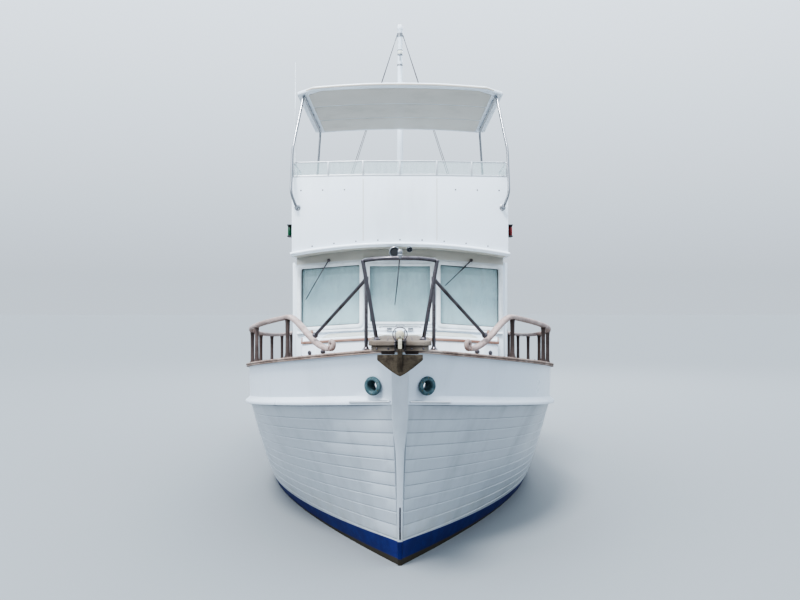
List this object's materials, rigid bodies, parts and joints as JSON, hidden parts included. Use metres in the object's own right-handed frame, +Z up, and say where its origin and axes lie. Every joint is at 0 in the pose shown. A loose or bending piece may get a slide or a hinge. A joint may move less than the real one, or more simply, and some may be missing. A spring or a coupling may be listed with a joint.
{
  "type": "trawler-style cabin cruiser with a flybridge",
  "caption": "Displacement motor cruiser with a planked-look hull, wheelhouse, flybridge with hard top, bow pulpit, plough anchor, mast and swim platform.",
  "frame": {"origin": "on the waterline, on the centreline, amidships", "axes": "+Z up, bow towards -Y, port side towards +X"},
  "size_m": [3.8898, 12.4046, 8.066],
  "materials": {
    "gelcoat": "white gelcoat, slightly chalked",
    "teak": "bare weathered teak",
    "stainless": "polished stainless steel, dulled",
    "bronze": "bronze with green patina",
    "galvanised": "worn galvanised steel",
    "glass": "pale window glass",
    "vinyl": "white marine vinyl",
    "red_lens": "red lamp lens in a dark box",
    "green_lens": "green lamp lens in a dark box"
  },
  "bodies": {
    "boat": {"hull": "gelcoat", "deck": "teak", "bulwark_port": "gelcoat", "bulwark_starboard": "gelcoat", "transom_panel": "gelcoat", "cap_rail_port": "teak", "cap_rail_starboard": "teak", "cap_rail_stern": "teak", "side_rail_port": "teak", "side_rail_starboard": "teak", "stern_rail": "teak", "hawse_ring_port": "bronze", "hawse_ring_starboard": "bronze", "anchor_platform": "teak", "bow_roller": "stainless", "plough_anchor": "galvanised", "bow_pulpit": "stainless", "windlass": "stainless", "fore_trunk": "gelcoat", "aft_trunk": "gelcoat", "house_front": "gelcoat", "house_side_port": "gelcoat", "house_side_starboard": "gelcoat", "house_aft": "gelcoat", "windshield": "glass", "side_glass_port": "glass", "side_glass_starboard": "glass", "aft_glass": "glass", "inside_helm": "teak", "settee": "vinyl", "galley": "teak", "house_roof": "gelcoat", "flybridge_coaming": "gelcoat", "windscreen": "glass", "flybridge_console": "gelcoat", "flybridge_bench": "gelcoat", "bench_cushion": "vinyl", "back_cushion": "vinyl", "flybridge_rail_port": "stainless", "flybridge_rail_starboard": "stainless", "flybridge_ladder": "stainless", "hard_top": "gelcoat", "top_frame_port": "stainless", "top_frame_starboard": "stainless", "mast": "gelcoat", "mast_shrouds": "stainless", "spotlight": "stainless", "nav_light_port": "red_lens", "nav_light_starboard": "green_lens", "swim_platform": "teak", "transom_ladder": "stainless"},
    "fore_hatch": {"fore_hatch_lid": "gelcoat"},
    "aft_hatch": {"aft_hatch_lid": "gelcoat"},
    "port_door": {"side_door_port": "teak"},
    "starboard_door": {"side_door_starboard": "teak"},
    "boom": {"boom": "gelcoat"},
    "wheel": {"steering_wheel": "stainless"},
    "rudder": {"rudder": "bronze"},
    "propeller": {"propeller": "bronze"},
    "antenna": {"antenna": "gelcoat"}
  },
  "joints": [
    {"name": "fore_hatch_hinge", "type": "hinge", "parent": "boat", "child": "fore_hatch", "pos_m": [0, -3.005, 2.1003], "axis": [1, 0, 0], "range_deg": [0, 95]},
    {"name": "aft_hatch_hinge", "type": "hinge", "parent": "boat", "child": "aft_hatch", "pos_m": [0, 2.745, 2.0753], "axis": [1, 0, 0], "range_deg": [0, 95]},
    {"name": "port_door_slide", "type": "slide", "parent": "boat", "child": "port_door", "axis": [0, 1, 0], "range_m": [0, 0.6]},
    {"name": "starboard_door_slide", "type": "slide", "parent": "boat", "child": "starboard_door", "axis": [0, 1, 0], "range_m": [0, 0.6]},
    {"name": "boom_swing", "type": "hinge", "parent": "boat", "child": "boom", "pos_m": [0, 1.25, 4.205], "axis": [0, 0, 1], "range_deg": [-70, 70]},
    {"name": "rudder_turn", "type": "hinge", "parent": "boat", "child": "rudder", "pos_m": [0, 4.76, -0.7], "axis": [0, 0, 1], "range_deg": [-35, 35]},
    {"name": "wheel_turn", "type": "hinge", "parent": "boat", "child": "wheel", "pos_m": [-0.48, -1.51812, 3.92774], "axis": [0, 0.6823, 0.7311], "range_deg": [-630, 630]},
    {"name": "propeller_spin", "type": "hinge", "parent": "boat", "child": "propeller", "pos_m": [0, 4.23, -0.74], "axis": [0, 0.9945, -0.1045], "continuous": true},
    {"name": "antenna_fold", "type": "hinge", "parent": "boat", "child": "antenna", "pos_m": [-1.385, -1.25, 3.2], "axis": [-1, 0, 0], "range_deg": [0, 90]}
  ],
  "couplings": [
    {"joint": "wheel_turn", "follows": "rudder_turn", "ratio": -18}
  ]
}
